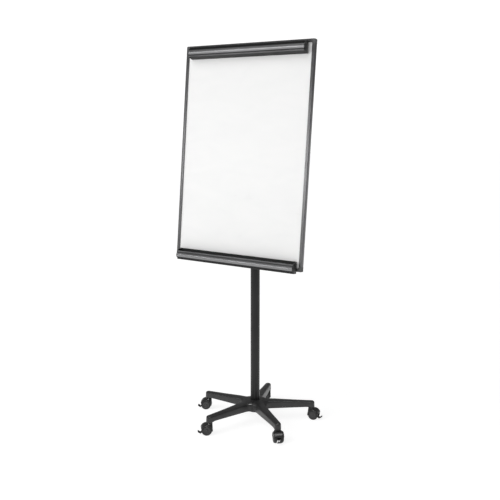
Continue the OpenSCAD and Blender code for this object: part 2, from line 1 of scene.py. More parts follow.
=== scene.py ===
"""Mobile flipchart easel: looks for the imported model.

Row frame: origin on the floor under the column's axis, +Z up, -Y the side that is written on.
Every new piece is a closed surface worked out with numpy from the frame's joints and boxes and
rides on the body that it belongs to. Shapes are in millimetres; piece() turns them to metres.
"""
import json
import math
import bmesh
import bpy
import numpy as np
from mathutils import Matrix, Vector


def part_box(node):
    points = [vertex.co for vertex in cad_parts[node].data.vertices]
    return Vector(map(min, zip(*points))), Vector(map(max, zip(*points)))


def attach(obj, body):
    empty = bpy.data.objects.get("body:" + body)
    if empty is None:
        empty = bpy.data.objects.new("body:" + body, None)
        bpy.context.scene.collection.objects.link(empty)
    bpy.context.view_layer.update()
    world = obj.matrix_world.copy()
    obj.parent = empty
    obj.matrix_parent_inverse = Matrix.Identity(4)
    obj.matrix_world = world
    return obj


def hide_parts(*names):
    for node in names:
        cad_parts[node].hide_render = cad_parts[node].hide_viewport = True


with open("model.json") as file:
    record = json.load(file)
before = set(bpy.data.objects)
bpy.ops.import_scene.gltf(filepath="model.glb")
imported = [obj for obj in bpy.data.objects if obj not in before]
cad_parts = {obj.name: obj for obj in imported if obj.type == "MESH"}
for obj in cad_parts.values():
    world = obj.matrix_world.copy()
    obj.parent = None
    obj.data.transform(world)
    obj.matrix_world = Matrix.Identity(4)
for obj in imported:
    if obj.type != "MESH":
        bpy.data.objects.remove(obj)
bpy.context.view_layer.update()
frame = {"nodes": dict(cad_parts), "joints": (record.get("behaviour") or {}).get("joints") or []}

MM = 0.001
JOINTS = {j["name"]: j for j in frame["joints"]}
CASTERS = range(1, 6)


def corners(node):
    """Lowest and highest corners of a CAD node, in millimetres."""
    low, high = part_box(node)
    return np.array(low) / MM, np.array(high) / MM


def joint_place(name):
    return np.array(JOINTS[name]["pos_m"]) / MM


# ---- sizes ----------------------------------------------------------------------------------

LEAN = math.radians(-JOINTS["board_tilt"]["range_deg"][0])
PIVOT = joint_place("board_tilt")
PIVOT_BACK = 52           # tilt axis behind the frame's front plane
PIVOT_UP = 500            # tilt axis above the frame's bottom edge

BOARD_W = corners("frame_corners")[1][0] - corners("frame_corners")[0][0]
BOARD_H = 1000
FRAME_D = 17
RAIL_W = 15
RAIL_WALL = 1.6
RAIL_SIDE = 2.5           # outer wall of the rails and of the corner pieces
CORNER_LEN = 22
PANEL_BACK = 5.5          # writing surface behind the frame's front plane

COLUMN_R = 22
MAST_R = 18
TUBE_WALL = 2
COLLAR_R = 30
KNOB_R = 23
KNOB_Z = joint_place("height_knob_turn")[2]

HUB_TOP = 107
HUB_R = 43
TIP_TOP = 91
SOCKET_R = 16
SOCKET_Z = 58
ARM_BOTTOM = 64
ARM_HALF = 23.5           # half an arm's width beside the hub
BASE_R = float(np.hypot(*joint_place("caster_1_swivel")[:2]))

WHEEL_R = joint_place("caster_1_roll")[2]
TRAIL = float(np.linalg.norm((joint_place("caster_1_roll") - joint_place("caster_1_swivel"))[:2]))
TWIN_HALF = 23.7
WHEEL_W = 15
WHEEL_EDGE = 8            # radius of a wheel's rounded outer edge
HOOD_GAP = 1
HOOD_R = WHEEL_R + 3.6
WEB_W = 16.8
PEDAL_PIVOT = np.array([TRAIL + 15, WHEEL_R - 2])
PEDAL_PIN_R = 1.6

BOLT_R = 5
BOLT_HEAD_R = 9.2         # across a hexagon head's points, halved

# ---- outlines -------------------------------------------------------------------------------


def arc(centre, radius, start, end, steps):
    """Points on a circle from one angle to another, in degrees."""
    a = np.radians(np.linspace(start, end, steps + 1))
    return np.stack([centre[0] + radius * np.cos(a), centre[1] + radius * np.sin(a)], -1)


def rounded(points, radii, steps=5):
    """Outline whose corners are arcs: each corner of radius r is cut r/tan(half its angle) away
    from the corner and swept round the centre that lies on the corner's bisector."""
    points = np.array(points, float)
    radii = np.broadcast_to(radii, len(points))
    out = []
    for k, p in enumerate(points):
        to_last, to_next = points[k - 1] - p, points[(k + 1) % len(points)] - p
        to_last, to_next = to_last / np.linalg.norm(to_last), to_next / np.linalg.norm(to_next)
        half = math.acos(np.clip(to_last @ to_next, -1, 1)) / 2
        if radii[k] == 0 or half > 1.55:
            out.append(p[None])
            continue
        bisector = (to_last + to_next) / np.linalg.norm(to_last + to_next)
        centre = p + bisector * radii[k] / math.sin(half)
        first = p + to_last * radii[k] / math.tan(half) - centre
        last = p + to_next * radii[k] / math.tan(half) - centre
        t = np.linspace(0, 1, steps + 1)[:, None]
        blend = first * (1 - t) + last * t
        out.append(centre + blend * radii[k] / np.linalg.norm(blend, axis=1, keepdims=True))
    return np.vstack(out)


def inset(outline, depth):
    """Closed outline moved inwards: each point slides along the mean of its two edges' normals,
    stretched so that both edges move by the same depth."""
    after = np.roll(outline, -1, 0) - outline
    after = after / np.maximum(np.linalg.norm(after, axis=1, keepdims=True), 1e-9)
    before = np.roll(after, 1, 0)
    normal = np.stack([after[:, 1] + before[:, 1], -after[:, 0] - before[:, 0]], -1) / 2
    normal = normal / np.maximum((normal ** 2).sum(1, keepdims=True), 0.35)
    x, y = outline.T
    turning = np.sign(np.sum(x * np.roll(y, -1) - y * np.roll(x, -1)))
    return outline - turning * depth * normal


# ---- shells: (points, quads, caps) ----------------------------------------------------------


def skin(grid, wrap_i=False, wrap_j=False, caps=False):
    """Shell through a grid of points P[i, j], quads between neighbours, flat caps on both ends."""
    index = np.arange(grid.shape[0] * grid.shape[1]).reshape(grid.shape[:2])
    g = np.vstack([index, index[:1]]) if wrap_i else index
    g = np.hstack([g, g[:, :1]]) if wrap_j else g
    quads = np.stack([g[:-1, :-1], g[1:, :-1], g[1:, 1:], g[:-1, 1:]], -1).reshape(-1, 4)
    ends = [index[0].tolist(), index[-1, ::-1].tolist()] if caps else []
    return grid.reshape(-1, 3), quads, ends


def lathe(profile, around=64, closed=False):
    """Surface of revolution: point (r cos a, r sin a, z) for every profile point (r, z)."""
    a = np.arange(around) * 2 * np.pi / around
    r, z = np.asarray(profile, float).T
    level = np.ones_like(a)[:, None] * z
    grid = np.stack([np.cos(a)[:, None] * r, np.sin(a)[:, None] * r, level], -1)
    return skin(grid, wrap_i=True, wrap_j=closed)


def rod(radius, low, high, edge=0.6, around=48):
    """Solid cylinder with rounded rims."""
    half = [[0, low], [radius, low], [radius, high], [0, high]]
    return lathe(rounded(half, [0, edge, edge, 0], 4), around)


def tube(inner, outer, low, high, edge=0.5, around=96):
    """Hollow cylinder with rounded rims."""
    ring = [[inner, low], [outer, low], [outer, high], [inner, high]]
    return lathe(rounded(ring, edge, 3), around, closed=True)


def prism(outline, low, high, edge=0.6, steps=3):
    """Outline carried along z from low to high; near both ends it shrinks by edge (1 - cos a)
    while it advances by edge (1 - sin a), so the rims are round."""
    a = np.linspace(0, np.pi / 2, steps + 1)
    depth = edge * (1 - np.sin(a))
    along = edge * (1 - np.cos(a))
    rims = [inset(outline, d) for d in depth]
    rows = [np.c_[rim, np.full(len(rim), low + z)] for rim, z in zip(rims, along)]
    rows += [np.c_[rim, np.full(len(rim), high - z)] for rim, z in zip(rims, along)][::-1]
    return skin(np.array(rows), wrap_j=True, caps=True)


def moved(shell, place):
    return (place(shell[0]),) + tuple(shell[1:])


def shifted(x=0, y=0, z=0):
    return lambda p: p + np.array([x, y, z], float)


def z_to_x(p):
    """An outline drawn in (y, z) and carried along z now lies across x."""
    return np.stack([p[..., 2], p[..., 0], p[..., 1]], -1)


def z_to_y(p):
    """An outline drawn in (x, z) and carried along z now lies across y."""
    return np.stack([p[..., 0], p[..., 2], p[..., 1]], -1)


def on_board(p):
    """Board coordinates (across, behind the front plane, up from the bottom edge), leant back
    about the tilt axis, in the row frame."""
    y, z = p[..., 1] - PIVOT_BACK, p[..., 2] - PIVOT_UP
    c, s = math.cos(LEAN), math.sin(LEAN)
    return np.stack([p[..., 0], PIVOT[1] + y * c + z * s, PIVOT[2] - y * s + z * c], -1)


def turned(p, angle):
    """Points turned about z by an angle in radians."""
    c, s = math.cos(angle), math.sin(angle)
    return np.stack([p[..., 0] * c - p[..., 1] * s, p[..., 0] * s + p[..., 1] * c, p[..., 2]], -1)


def on_arm(k):
    """Arm coordinates: the arm lies along +x from the column's axis."""
    x, y = joint_place(f"caster_{k}_swivel")[:2]
    return lambda p: turned(p, math.atan2(y, x))


def on_caster(k):
    """Caster coordinates: stem on the z axis, wheels towards +x."""
    stem = joint_place(f"caster_{k}_swivel") * [1, 1, 0]
    ax, ay = JOINTS[f"caster_{k}_roll"]["axis"][:2]
    return lambda p: turned(p, math.atan2(-ax, ay)) + stem


# ---- pieces ---------------------------------------------------------------------------------


def facing_out(points, quads, caps):
    """Face order that points outwards: reversed where the shell's signed volume is negative."""
    fans = [np.array([[c[0], c[i], c[i + 1]] for i in range(1, len(c) - 1)]) for c in caps]
    t = points[np.vstack([quads[:, [0, 1, 2]], quads[:, [0, 2, 3]]] + fans)]
    if np.einsum("ij,ij->", t[:, 0], np.cross(t[:, 1], t[:, 2])) < 0:
        return quads[:, ::-1], [c[::-1] for c in caps]
    return quads, caps


def piece(name, shells, finish, body, stands_for, crease=32):
    """Joins closed shells into one object in metres, smooth across edges flatter than crease.
    finish is a material, or a list of them; a shell's fourth entry then picks one for each face."""
    points, faces, zone = [], [], []
    start = 0
    for shell in shells:
        quads, caps = facing_out(*shell[:3])
        points.append(shell[0])
        faces += (quads + start).tolist() + [[i + start for i in c] for c in caps]
        own = shell[3] if len(shell) > 3 else np.zeros(len(quads), int)
        zone += list(own) + [0] * len(caps)
        start += len(shell[0])
    mesh = bpy.data.meshes.new(name)
    mesh.from_pydata((np.vstack(points) * MM).tolist(), [], faces)
    mesh.polygons.foreach_set("material_index", np.array(zone, np.int32))
    for material in finish if isinstance(finish, list) else [finish]:
        mesh.materials.append(material)
    bm = bmesh.new()
    bm.from_mesh(mesh)
    bmesh.ops.remove_doubles(bm, verts=bm.verts, dist=2e-6)
    bm.to_mesh(mesh)
    bm.free()
    mesh.polygons.foreach_set("use_smooth", np.ones(len(mesh.polygons), bool))
    mesh.set_sharp_from_angle(angle=math.radians(crease))
    obj = bpy.data.objects.new(name, mesh)
    bpy.context.collection.objects.link(obj)
    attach(obj, body)
    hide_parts(*stands_for)
    return obj


# ---- finishes -------------------------------------------------------------------------------


class Finish:
    """A Principled material with named helpers for the textures that drive it."""

    def __init__(self, name, **sockets):
        self.material = bpy.data.materials.new(name)
        self.material.use_nodes = True
        self.nodes = self.material.node_tree.nodes
        self.shader = self.nodes["Principled BSDF"]
        for socket, value in sockets.items():
            self.shader.inputs[socket.replace("_", " ")].default_value = value
        self.place = self.nodes.new("ShaderNodeTexCoord").outputs["Object"]

    def link(self, out, into):
        self.material.node_tree.links.new(out, into)

    def noise(self, scale, detail=4, rough=0.55, stretch=(1, 1, 1), distortion=0):
        mapping = self.nodes.new("ShaderNodeMapping")
        mapping.inputs["Scale"].default_value = stretch
        self.link(self.place, mapping.inputs["Vector"])
        noise = self.nodes.new("ShaderNodeTexNoise")
        noise.inputs["Scale"].default_value = scale
        noise.inputs["Detail"].default_value = detail
        noise.inputs["Roughness"].default_value = rough
        noise.inputs["Distortion"].default_value = distortion
        self.link(mapping.outputs["Vector"], noise.inputs["Vector"])
        return noise.outputs["Fac"]

    def spread(self, value, low, high, to_low, to_high):
        """A texture value from low..high spread over to_low..to_high."""
        span = self.nodes.new("ShaderNodeMapRange")
        ends = {"From Min": low, "From Max": high, "To Min": to_low, "To Max": to_high}
        for key, number in ends.items():
            span.inputs[key].default_value = number
        self.link(value, span.inputs["Value"])
        return span.outputs["Result"]

    def colours(self, value, dark, light, low=0.3, high=0.7):
        """Base colour between dark and light as the texture value goes from low to high."""
        ramp = self.nodes.new("ShaderNodeValToRGB")
        ramp.color_ramp.elements[0].position = low
        ramp.color_ramp.elements[0].color = (*dark, 1)
        ramp.color_ramp.elements[1].position = high
        ramp.color_ramp.elements[1].color = (*light, 1)
        self.link(value, ramp.inputs["Fac"])
        self.link(ramp.outputs["Color"], self.shader.inputs["Base Color"])
        return ramp.outputs["Color"]

    def roughness(self, value, low, high):
        self.link(self.spread(value, 0.3, 0.7, low, high), self.shader.inputs["Roughness"])

    def bump(self, value, depth_mm, strength=1.0):
        bump = self.nodes.new("ShaderNodeBump")
        bump.inputs["Strength"].default_value = strength
        bump.inputs["Distance"].default_value = depth_mm * MM
        self.link(value, bump.inputs["Height"])
        self.link(bump.outputs["Normal"], self.shader.inputs["Normal"])


def grained_plastic(name, dark, light, rough, grain=900, depth=0.05, shine=0.45):
    """Moulded plastic: a fine spark-eroded grain, cloudy tone, shine that varies with handling."""
    f = Finish(name, Specular_IOR_Level=shine)
    f.colours(f.noise(28, 5), dark, light)
    f.roughness(f.noise(60, 3), *rough)
    f.bump(f.noise(grain, 3, 0.6), depth, 0.7)
    return f.material


def powder_coat(name, dark, light, rough, peel=420, depth=0.04):
    """Powder coat: the low waves of orange peel under a satin skin."""
    f = Finish(name, Specular_IOR_Level=0.3)
    f.colours(f.noise(14, 4), dark, light)
    f.roughness(f.noise(35, 4), *rough)
    f.bump(f.noise(peel, 2, 0.4), depth, 0.5)
    return f.material


def anodised(name, dark, light, rough, stretch, metal=0.85):
    """Anodised aluminium: drawing lines along the profile and a faint cloudy tone."""
    f = Finish(name, Metallic=metal, Specular_IOR_Level=0.5)
    f.colours(f.noise(9, 4, 0.6), dark, light)
    lines = f.noise(900, 4, 0.7, stretch)
    f.roughness(lines, *rough)
    f.bump(lines, 0.02, 0.35)
    return f.material


def zinc_plate():
    f = Finish("zinc_plate", Metallic=1.0)
    f.colours(f.noise(120, 4), (0.46, 0.46, 0.45), (0.66, 0.67, 0.69))
    f.roughness(f.noise(300, 4), 0.22, 0.42)
    f.bump(f.noise(700, 3), 0.02, 0.4)
    return f.material


def white_lacquer():
    """Gloss writing surface: faint cleaning haze in wide strokes, hardly any texture."""
    f = Finish("white_lacquer", Specular_IOR_Level=0.15)
    haze = f.noise(5, 6, 0.6, (1, 1, 2.4), 0.6)
    f.colours(haze, (0.908, 0.91, 0.906), (0.93, 0.93, 0.925), 0.35, 0.65)
    f.roughness(haze, 0.26, 0.38)
    f.bump(f.noise(160, 2), 0.015, 0.3)
    return f.material


def back_lacquer():
    f = Finish("back_lacquer", Specular_IOR_Level=0.45)
    f.colours(f.noise(4, 5), (0.47, 0.48, 0.49), (0.54, 0.55, 0.56))
    f.roughness(f.noise(22, 4), 0.38, 0.55)
    f.bump(f.noise(300, 2), 0.03, 0.4)
    return f.material


def fibre_board():
    f = Finish("fibre_board", Specular_IOR_Level=0.2)
    fibres = f.noise(260, 6, 0.7, (1, 1, 0.35), 1.2)
    f.colours(fibres, (0.16, 0.10, 0.055), (0.36, 0.26, 0.16))
    f.roughness(fibres, 0.75, 0.92)
    f.bump(fibres, 0.15, 0.8)
    return f.material


def grey(value):
    return (value, value, value * 1.02)


BASE_NYLON = grained_plastic("base_nylon", grey(0.022), grey(0.031), (0.3, 0.42), 700, 0.06)
BLACK_PLASTIC = grained_plastic("black_plastic", grey(0.010), grey(0.016), (0.32, 0.46))
CAP_PLASTIC = grained_plastic("cap_plastic", grey(0.013), grey(0.019), (0.3, 0.42), 1100, 0.04)
CORNER_PLASTIC = grained_plastic("corner_plastic", grey(0.085), grey(0.11), (0.38, 0.52), 1100, 0.04)
WHEEL_TREAD = grained_plastic("wheel_tread", grey(0.014), grey(0.024), (0.5, 0.7), 500, 0.1)
WHEEL_DISC = grained_plastic("wheel_disc", grey(0.028), grey(0.04), (0.32, 0.44), 900, 0.05)
COLUMN_PAINT = powder_coat("column_paint", grey(0.013), grey(0.019), (0.3, 0.42))
BRACKET_PAINT = powder_coat("bracket_paint", grey(0.02), grey(0.028), (0.38, 0.52), 500, 0.06)
RAIL_UPRIGHT = anodised("graphite_upright", grey(0.125), grey(0.155), (0.26, 0.38), (1, 1, 0.02), 0.92)
RAIL_LEVEL = anodised("graphite_level", grey(0.125), grey(0.155), (0.26, 0.38), (0.02, 1, 1), 0.92)
# The wide band's grey, lighter than the rest of the graphite profile, is partly the metal's own tone
# and partly a painted highlight: the light its convex face catches is put into its colour.
BAR_BAND_TONE_AND_PAINTED_HIGHLIGHT = anodised("graphite_band_painted_highlight", grey(0.23), grey(0.27), (0.3, 0.42), (0.02, 1, 1), 0.88)
BAR_THIN = anodised("graphite_thin", grey(0.09), grey(0.12), (0.34, 0.48), (0.02, 1, 1), 0.8)
BAR_STRIP = grained_plastic("black_strip", grey(0.008), grey(0.012), (0.34, 0.46), 900, 0.03, 0.22)
ZINC = zinc_plate()
WHITE_LACQUER = white_lacquer()
BACK_LACQUER = back_lacquer()
FIBRE_BOARD = fibre_board()

# ---- base -----------------------------------------------------------------------------------

COLUMN_HOLE = COLUMN_R + 0.4
SHELL_T = 3.6
WEB_FILLET = 36           # radius of the web between two arms
HUB_SHOULDER = (20, 17)   # how far in and how far down the top's edge is rounded at the hub
ARM_SHOULDER = (8, 8)     # and along an arm
HUB_FOOT = 50
COLUMN_SEAT = 56.5        # the column's foot stands on this floor inside the hub
SOCKET_TOP = 87
TAPER = (ARM_HALF - SOCKET_R) / (BASE_R - HUB_R)
RIBS_AT = (90, 138, 186, 234)


def half_sector():
    """Outline and spine of half an arm, from the middle of the web to the arm's tip. The outline
    is the web's fillet, the tapered side and a quarter of the tip; the spine goes round the
    column's hole, then along the arm, and stays in the socket's axis under the tip."""
    half_at_column = ARM_HALF + TAPER * HUB_R
    half_turn = math.pi / 5
    slope = math.hypot(1, TAPER)
    spread = math.sin(half_turn) + TAPER * math.cos(half_turn)
    distance = (WEB_FILLET * slope + half_at_column) / spread
    centre = distance * np.array([math.cos(half_turn), math.sin(half_turn)])
    side_angle = 270 - math.degrees(math.atan(TAPER))
    web = arc(centre, WEB_FILLET, 216, side_angle, 16)
    x_side = np.linspace(web[-1, 0], BASE_R, 42)[1:-1]
    side = np.stack([x_side, half_at_column - TAPER * x_side], -1)
    tip = arc((BASE_R, 0), SOCKET_R, 90 - math.degrees(math.atan(TAPER)), 0, 14)
    turn = np.radians(np.linspace(36, 0, len(web)))
    spine_web = COLUMN_HOLE * np.stack([np.cos(turn), np.sin(turn)], -1)
    f = (x_side - web[-1, 0]) / (BASE_R - web[-1, 0])
    spine_side = np.stack([x_side - (web[-1, 0] - COLUMN_HOLE) * (1 - f) ** 3, 0 * f], -1)
    spine_tip = np.tile([[BASE_R, 0.0]], (len(tip), 1))
    on_hole = np.r_[np.ones(len(web)), np.zeros(len(side) + len(tip))]
    return np.vstack([web, side, tip]), np.vstack([spine_web, spine_side, spine_tip]), on_hole


def arm_top(radius):
    """Height of the base's top: flat round the column, then falling evenly to the tips."""
    t = np.clip((radius - HUB_R) / (BASE_R - HUB_R), 0, 1)
    s = np.clip((radius - HUB_R + 8) / 30, 0, 1)
    return HUB_TOP - 3.5 * s * s * (3 - 2 * s) - (HUB_TOP - 3.5 - TIP_TOP) * t


def base_shell():
    """Hollow moulding: for each outline point, a section from the spine over a crowned top, down
    a rounded shoulder and a drafted side, round the rim and back up the inside."""
    outline, spine, on_hole = half_sector()
    flip = [1, -1]
    outline = np.vstack([outline, outline[-2:0:-1] * flip])
    spine = np.vstack([spine, spine[-2:0:-1] * flip])
    on_hole = np.r_[on_hole, on_hole[-2:0:-1]]
    length = np.linalg.norm(outline - spine, axis=1)
    arm = np.clip((np.hypot(*outline.T) - 62) / 50, 0, 1)
    arm = arm * arm * (3 - 2 * arm)
    tip = np.clip((outline[:, 0] - (BASE_R - 30)) / 30, 0, 1)
    shoulder, drop = (hub * (1 - arm) + out * arm for hub, out in zip(HUB_SHOULDER, ARM_SHOULDER))
    bottom = ARM_BOTTOM - (ARM_BOTTOM - SOCKET_Z) * tip ** 2

    def at(depth, height_of):
        plan = outline + (spine - outline) * (depth / length)[:, None]
        return np.c_[plan, height_of(np.hypot(*plan.T))]

    rows = []
    for t in np.linspace(1, 0, 7):
        depth = shoulder + (length - shoulder) * t
        rows.append(at(depth, lambda r, t=t: arm_top(r) - 1.2 * (1 - t) ** 2))
    for a in np.radians(np.linspace(15, 90, 6)):
        depth = 0.8 + (shoulder - 0.8) * (1 - math.sin(a))
        fall = 1.2 + drop * (1 - math.cos(a))
        edge = at(shoulder, arm_top)[:, 2]
        rows.append(at(depth, lambda r, fall=fall, edge=edge: edge - fall))
    side_top = rows[-1][:, 2]
    rows.append(at(np.full(len(outline), 0.4), lambda r: (side_top + bottom) / 2))
    for depth, rise in ((0, 1.6), (0.4, 0.5), (1.4, 0), (SHELL_T - 1, 0), (SHELL_T, 1)):
        rows.append(at(np.full(len(outline), float(depth)), lambda r, rise=rise: bottom + rise))
    rows.append(at(np.full(len(outline), SHELL_T + 1), lambda r: side_top - 2))
    rows.append(at(SHELL_T + 1 + shoulder * 0.3, lambda r: side_top + drop * 0.6 - SHELL_T))
    rows.append(at(np.maximum(shoulder, SHELL_T + 4), lambda r: arm_top(r) - SHELL_T - 2))
    rows.append(at(length, lambda r: arm_top(r) - SHELL_T))
    sector = np.array(rows).transpose(1, 0, 2)
    grid = np.vstack([on_arm(k)(sector) for k in CASTERS])
    points, quads, caps = skin(grid, wrap_i=True)
    count = grid.shape[0]
    holed = np.tile(on_hole, len(CASTERS)) > 0
    per_row = grid.shape[1]
    first = np.arange(count) * per_row
    following = np.roll(first, -1)
    pair = holed & np.roll(holed, -1)
    ends = [first + per_row - 1, following + per_row - 1, following, first]
    rim = np.stack(ends, -1)[pair]
    return points, np.vstack([quads, rim]), caps


def rib(x, width):
    """Cross rib under an arm, 3 mm thick."""
    low, high = ARM_BOTTOM + 2, arm_top(x) - SHELL_T - 1
    half = width / 2 - SHELL_T
    outline = rounded([[-half, low], [half, low], [half, high - 6], [half - 6, high],
                       [6 - half, high], [-half, high - 6]], 0.4, 2)
    return moved(prism(outline, x - 1.5, x + 1.5, 0.3, 2), z_to_x)


def make_base():
    """The moulding, the turned sleeve that the column stands in, ribs and caster sockets."""
    shells = [base_shell()]
    hub = [[COLUMN_R + 0.1, COLUMN_SEAT], [COLUMN_R + 0.1, HUB_TOP - 0.8],
           [COLUMN_R + 5, HUB_TOP - 1.4], [COLUMN_R + 6, 62], [35, 60], [35, HUB_FOOT],
           [6, HUB_FOOT], [6, COLUMN_SEAT]]
    shells.append(lathe(rounded(hub, [0.3, 0.6, 1, 1, 1, 1, 0.5, 0.3], 3), 96, closed=True))
    for k in CASTERS:
        place = on_arm(k)
        for x in RIBS_AT:
            shells.append(moved(rib(x, 2 * (ARM_HALF - TAPER * (x - HUB_R))), place))
        socket = rounded([[5.8, SOCKET_Z], [12.5, SOCKET_Z], [12.5, SOCKET_TOP], [5.8, SOCKET_TOP]],
                         0.5, 2)
        at_tip = moved(lathe(socket, 48, closed=True), shifted(x=BASE_R))
        shells.append(moved(at_tip, place))
    piece("base_shell", shells, BASE_NYLON, "base", ["star_base"], 40)


def make_fixings():
    """Bolt and washer under the hub, which hold the column down."""
    hexagon = rounded(arc((0, 0), BOLT_HEAD_R, 0, 300, 5), 0.4, 2)
    under = HUB_FOOT - 2
    head = prism(hexagon, under - 6.4, under, 0.8)
    washer = tube(BOLT_R + 0.3, 13, under, HUB_FOOT, 0.4, 48)
    shank = rod(BOLT_R, under - 0.1, under + 27.9, 0.5, 32)
    piece("column_bolt", [head, washer, shank], ZINC, "base", ["column_fixings"])


# ---- casters --------------------------------------------------------------------------------


def at_axle(p):
    """A shell turned about z is laid across the caster, on its axle."""
    return np.stack([p[..., 0] + TRAIL, p[..., 2], p[..., 1] + WHEEL_R], -1)


def rim_radius(y, grow):
    """Radius of the surface that stands grow outside a wheel: full over the middle, then falling
    along a circle round the centre of the wheel's rounded edge."""
    past = np.clip(np.abs(y) - (TWIN_HALF - WHEEL_EDGE), 0, None)
    return WHEEL_R - WHEEL_EDGE + np.sqrt((WHEEL_EDGE + grow) ** 2 - past ** 2)


def hood():
    """Cover over both wheels: a section with rounded shoulders swept round the axle, from above
    the brake lever over the top and down behind the stem."""
    across = TWIN_HALF * np.sin(np.radians(np.linspace(-90, 90, 37)))
    outer = np.stack([across, rim_radius(across, HOOD_R - WHEEL_R)], -1)
    inner = np.stack([across, rim_radius(across, HOOD_GAP)], -1)
    section = np.vstack([outer, inner[::-1]])
    lip = np.radians([17.6, 18.2, 19.4])
    a = np.r_[lip, np.radians(np.linspace(22, 186, 56)), np.radians([188.6, 189.8, 190.4])][:, None]
    pinch = np.r_[[1.0, 0.45, 0.1], np.zeros(56), [0.1, 0.45, 1.0]][:, None]
    middle = rim_radius(section[:, 0], (HOOD_R - WHEEL_R + HOOD_GAP) / 2)
    r = section[:, 1] + (middle - section[:, 1]) * 0.6 * pinch
    y = section[:, 0] * (1 - 0.02 * pinch)
    grid = np.stack([TRAIL + r * np.cos(a), y, WHEEL_R + r * np.sin(a)], -1)
    return skin(grid, wrap_j=True, caps=True)


def stem_neck():
    """Neck from the hood up to the socket: superellipses that turn from a wide rounded box into a
    near circle. Its foot follows the hood's surface, 1.2 mm deep in it."""
    a = (np.arange(72) * 2 * np.pi / 72)[:, None]
    t = np.r_[0, 0, np.linspace(0, 1, 13), 1, 1]
    shrink = np.r_[0, 0.6, np.ones(12), 0.97, 0.93, 0][None]
    ease = (t * t * (3 - 2 * t))[None]
    power = 2 / (5.5 - 2.9 * ease)
    x = -0.8 + shrink * (13.7 - 0.4 * ease) * np.sign(np.cos(a)) * np.abs(np.cos(a)) ** power
    y = shrink * (18.7 - 5.4 * ease) * np.sign(np.sin(a)) * np.abs(np.sin(a)) ** power
    reach = (rim_radius(y, HOOD_R - WHEEL_R) - 1.2) ** 2 - (x - TRAIL) ** 2
    foot = WHEEL_R + np.sqrt(np.clip(reach, 3 ** 2, None))
    top = SOCKET_Z - 0.35
    fall = np.r_[np.zeros(14), 0.7, 0, 0]
    return skin(np.stack([x, y, foot + (top - foot) * t - fall], -1), wrap_i=True)


def caster_web():
    """Thick plate between the wheels, round the axle and up to the neck."""
    outline = rounded([[-5, 30], [2, 17], [TRAIL, WHEEL_R - 14], [TRAIL + 5.5, WHEEL_R - 12.6],
                       [TRAIL + 5.5, 46], [TRAIL, 50], [-5, 44]], [5, 5, 5, 2, 2, 3, 5], 5)
    return moved(prism(outline, -WEB_W / 2, WEB_W / 2, 0.6), z_to_y)


def pedal_lug():
    """Short plate that carries the brake lever, and the lever's pin."""
    outline = rounded([[TRAIL + 3, WHEEL_R - 9], [TRAIL + 19, WHEEL_R - 7],
                       [TRAIL + 19.5, WHEEL_R + 3], [TRAIL + 3, WHEEL_R + 8]], [1, 4, 4, 1], 5)
    off_axle = PEDAL_PIVOT - [TRAIL, WHEEL_R]
    pin = moved(rod(PEDAL_PIN_R, -5, 5, 0.3, 24), lambda p: at_axle(p) + [off_axle[0], 0, off_axle[1]])
    return [moved(prism(outline, -2, 2, 0.4), z_to_y), pin]


def wheel_tread(side):
    """Rubber band with a rounded outer edge of radius WHEEL_EDGE."""
    w = WHEEL_W
    edge = arc((WHEEL_R - WHEEL_EDGE, w - WHEEL_EDGE), WHEEL_EDGE, 0, 72, 12)
    inner = [[WHEEL_R - 6.6, 0.6], [WHEEL_R - 1.6, 0.2], [WHEEL_R - 0.4, 0.9], [WHEEL_R, 2]]
    ring = np.vstack([inner, edge, [[WHEEL_R - 6.1, w - 0.5], [WHEEL_R - 6.5, w - 1.6]]])
    shell = lathe(ring, 72, closed=True)
    return moved(shell, lambda p: at_axle(p + [0, 0, TWIN_HALF - w]) * [1, side, 1])


def wheel_disc(side):
    """Dished disc with a raised rim ring and a domed hub cap, closed on the axle."""
    w = WHEEL_W
    face = [[0, w - 0.1], [5.2, w - 0.35], [6.4, w - 1.6], [8, w - 2.2], [14.9, w - 1.5],
            [15.9, w - 0.6], [17.6, w - 0.6], [18.3, w - 2.2], [18.3, 0.8], [0, 0.8]]
    shell = lathe(rounded(face, [0, 0.8, 0.8, 1.5, 0.6, 0.6, 0.5, 0.3, 0.3, 0], 3), 72)
    return moved(shell, lambda p: at_axle(p + [0, 0, TWIN_HALF - w]) * [1, side, 1])


def pedal():
    """Two cheeks from the pivot to a tab that rises outwards to a rounded tip."""
    tab_x = TRAIL + WHEEL_R + 2.2
    low = WHEEL_R - 16.5
    cheek = np.vstack([arc(PEDAL_PIVOT, 4.4, 60, 260, 12), [[tab_x + 1, low]], [[tab_x + 2, low + 5]]])
    shells = [moved(prism(cheek, y, y + 2.8, 0.4, 2), z_to_y) for y in (-5.2, 2.4)]
    tab = np.vstack([[[tab_x, low + 3.6], [tab_x, low + 0.6], [tab_x + 0.6, low], [tab_x + 3.4, low]],
                     arc((tab_x + 12, low + 8.5), 2.6, -50, 130, 14), [[tab_x + 2.6, low + 4.4]]])
    shells.append(moved(prism(tab, -10, 10, 1.3, 4), z_to_y))
    bx = PEDAL_PIVOT[0] + 6.5
    block = rounded([[bx, low + 1], [bx + 6.5, low + 1], [bx + 6.5, low + 4], [bx, low + 4]], 0.8, 3)
    return shells + [moved(prism(block, -5.2, 5.2, 0.4), z_to_y)]


